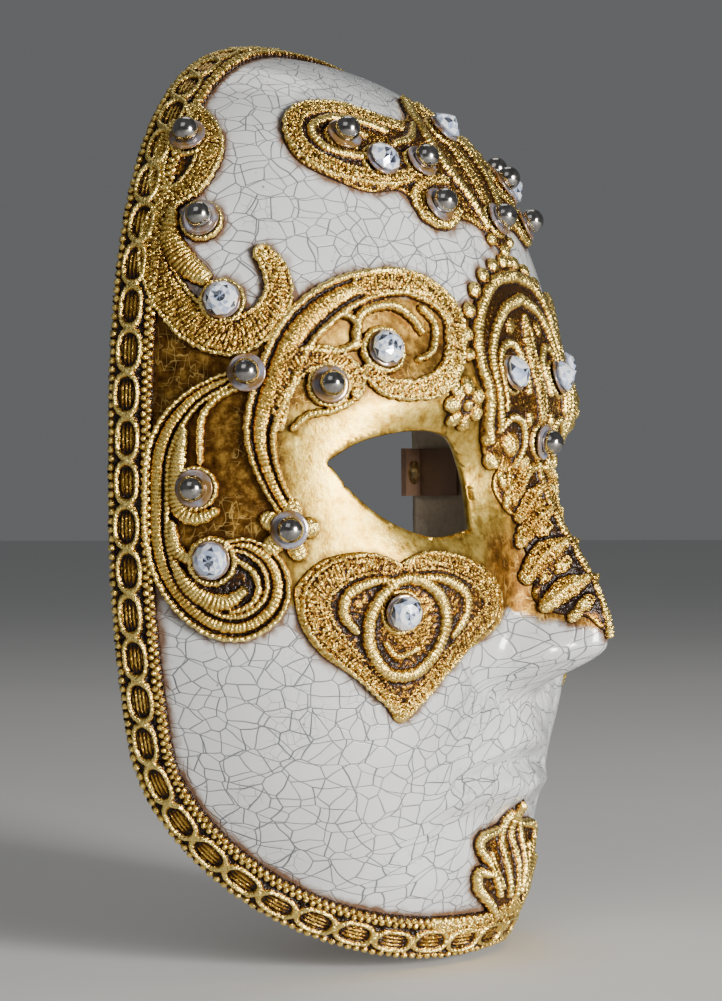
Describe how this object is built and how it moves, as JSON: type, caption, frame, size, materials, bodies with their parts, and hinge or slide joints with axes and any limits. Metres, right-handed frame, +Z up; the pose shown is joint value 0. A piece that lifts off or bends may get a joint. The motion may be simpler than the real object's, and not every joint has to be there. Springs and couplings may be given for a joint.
{
  "type": "venetian masquerade mask",
  "caption": "Full-face carnival mask: papier-mache shell with eye holes, gilded lace scrolls, an oval-chain edge braid, glass crystals and silver domes.",
  "frame": {"origin": "on the plane of the back rim and on the plane of symmetry, level with the eyes: the centre of the opening the wearer's face goes into", "axes": "+Z up, +Y out of the back towards the wearer so the mask looks along -Y, +X towards the wearer's left; nodes named _right are at -X"},
  "size_m": [0.1782, 0.0965, 0.237],
  "materials": {
    "shell": "glossy crackle varnish over off-white paint, with gold leaf round the eyes",
    "braid": "antique gold braid of oval loops with dark recesses",
    "lace": "antique gold embroidered lace with satin ribs and dark recesses",
    "crystal": "clear faceted crystal with a silvered back and a blue cast",
    "dome": "dark silver dome, bright all over",
    "disc": "clear flat disc, brown-stained at its edge",
    "tab": "dark brown leather",
    "eyelet": "rolled brass"
  },
  "bodies": {
    "root": {"mask_shell": "shell", "edge_braid": "braid", "temple_scroll_upper_right": "lace", "temple_scroll_upper_left": "lace", "temple_scroll_lower_right": "lace", "temple_scroll_lower_left": "lace", "brow_scroll_right": "lace", "brow_scroll_left": "lace", "cheek_medallion_right": "lace", "cheek_medallion_left": "lace", "brow_flower_right": "lace", "brow_flower_left": "lace", "temple_rosette_right": "lace", "temple_rosette_left": "lace", "forehead_crown": "lace", "brow_shield": "lace", "nose_lace": "lace", "chin_palmette": "lace", "crystal_temple_upper_right": "crystal", "crystal_temple_upper_left": "crystal", "crystal_temple_lower_right": "crystal", "crystal_temple_lower_left": "crystal", "crystal_brow_right": "crystal", "crystal_brow_left": "crystal", "crystal_shield_right": "crystal", "crystal_shield_left": "crystal", "crystal_crown_right": "crystal", "crystal_crown_left": "crystal", "crystal_cheek_right": "crystal", "crystal_cheek_left": "crystal", "crystal_crown_centre": "crystal", "dome_curl_right": "dome", "dome_curl_left": "dome", "dome_hook_right": "dome", "dome_hook_left": "dome", "dome_stem_right": "dome", "dome_stem_left": "dome", "dome_temple_right": "dome", "dome_temple_left": "dome", "dome_brow_right": "dome", "dome_brow_left": "dome", "dome_rosette_right": "dome", "dome_rosette_left": "dome", "dome_crown_outer_right": "dome", "dome_crown_outer_left": "dome", "dome_crown_inner_right": "dome", "dome_crown_inner_left": "dome", "dome_crown_lower_right": "dome", "dome_crown_lower_left": "dome", "dome_crown_centre": "dome", "dome_shield_centre": "dome", "stone_discs_right": "disc", "stone_discs_left": "disc", "stone_discs_centre": "disc", "ribbon_tab_right": "tab", "ribbon_tab_left": "tab", "ribbon_eyelet_right": "eyelet", "ribbon_eyelet_left": "eyelet"}
  },
  "joints": []
}
